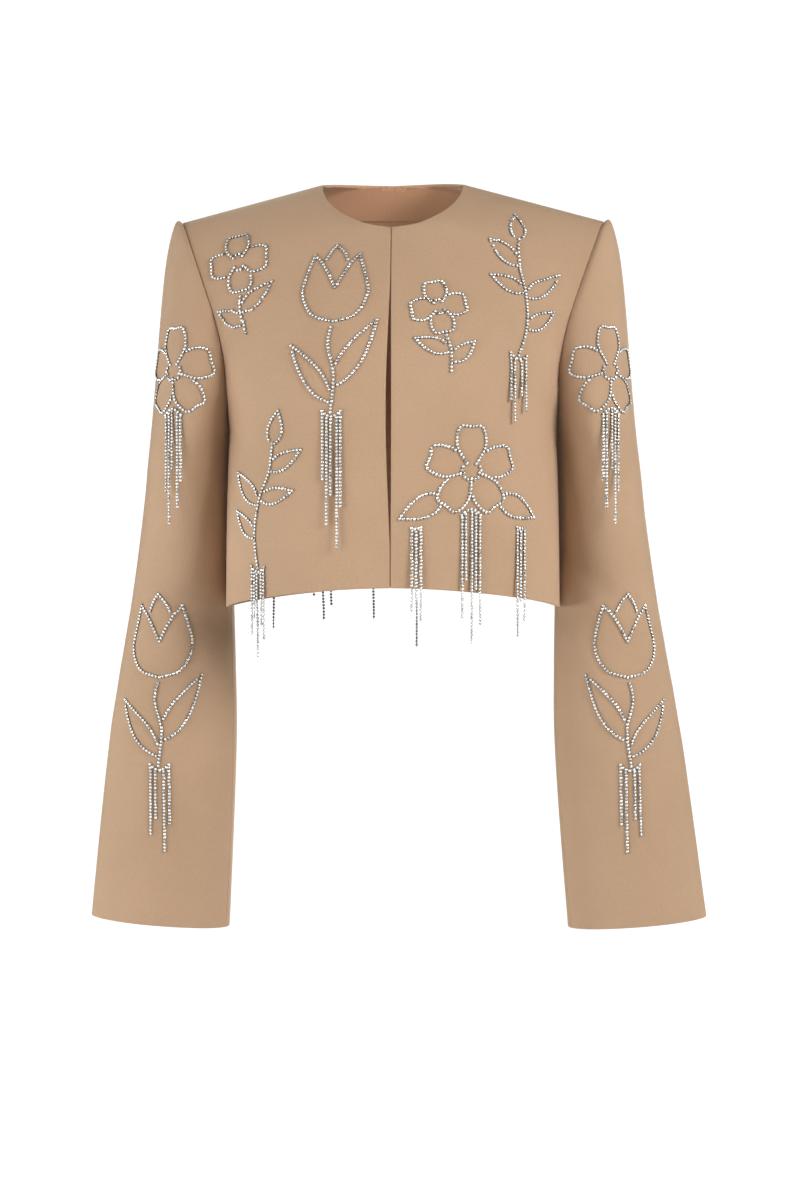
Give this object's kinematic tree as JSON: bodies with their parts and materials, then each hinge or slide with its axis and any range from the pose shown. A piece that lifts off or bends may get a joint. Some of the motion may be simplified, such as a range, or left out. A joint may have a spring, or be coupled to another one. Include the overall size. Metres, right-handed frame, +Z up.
{
  "type": "cropped blazer",
  "caption": "Cropped collarless blazer with squared shoulders and flared sleeves, trimmed with flowers drawn in crystal chain and hanging strands.",
  "frame": {"origin": "between the shoulder seams, on the plane through both, 20 mm above their outer ends: where the wearer's shoulders carry the jacket", "axes": "+Z up, the fronts face -Y, the wearer's left is +X"},
  "size_m": [0.588, 0.2159, 0.7153],
  "materials": {
    "camel_cloth": "smooth matt suiting cloth",
    "neck_facing": "smooth matt suiting cloth",
    "crystal_chain": "clear faceted crystals in silver cups"
  },
  "bodies": {
    "root": {"front_left": "camel_cloth", "front_right": "camel_cloth", "back": "camel_cloth", "back_neck_facing": "neck_facing", "top_sleeve_left": "camel_cloth", "under_sleeve_left": "camel_cloth", "top_sleeve_right": "camel_cloth", "under_sleeve_right": "camel_cloth", "tulip_on_right_front": "crystal_chain", "tulip_on_right_front_strands_1": "crystal_chain", "spray_on_right_front": "crystal_chain", "spray_on_right_front_strands_1": "crystal_chain", "bud_on_right_shoulder": "crystal_chain", "bud_on_left_front": "crystal_chain", "blossom_on_left_front": "crystal_chain", "blossom_on_left_front_strands_1": "crystal_chain", "blossom_on_left_front_strands_2": "crystal_chain", "blossom_on_left_front_strands_3": "crystal_chain", "spray_on_left_front": "crystal_chain", "spray_on_left_front_strands_1": "crystal_chain", "blossom_on_left_sleeve": "crystal_chain", "blossom_on_left_sleeve_strands_1": "crystal_chain", "tulip_on_left_sleeve": "crystal_chain", "tulip_on_left_sleeve_strands_1": "crystal_chain", "blossom_on_right_sleeve": "crystal_chain", "blossom_on_right_sleeve_strands_1": "crystal_chain", "tulip_on_right_sleeve": "crystal_chain", "tulip_on_right_sleeve_strands_1": "crystal_chain", "blossom_on_back": "crystal_chain", "blossom_on_back_strands_1": "crystal_chain", "blossom_on_back_strands_2": "crystal_chain", "blossom_on_back_strands_3": "crystal_chain", "spray_on_back": "crystal_chain", "spray_on_back_strands_1": "crystal_chain"}
  },
  "joints": []
}
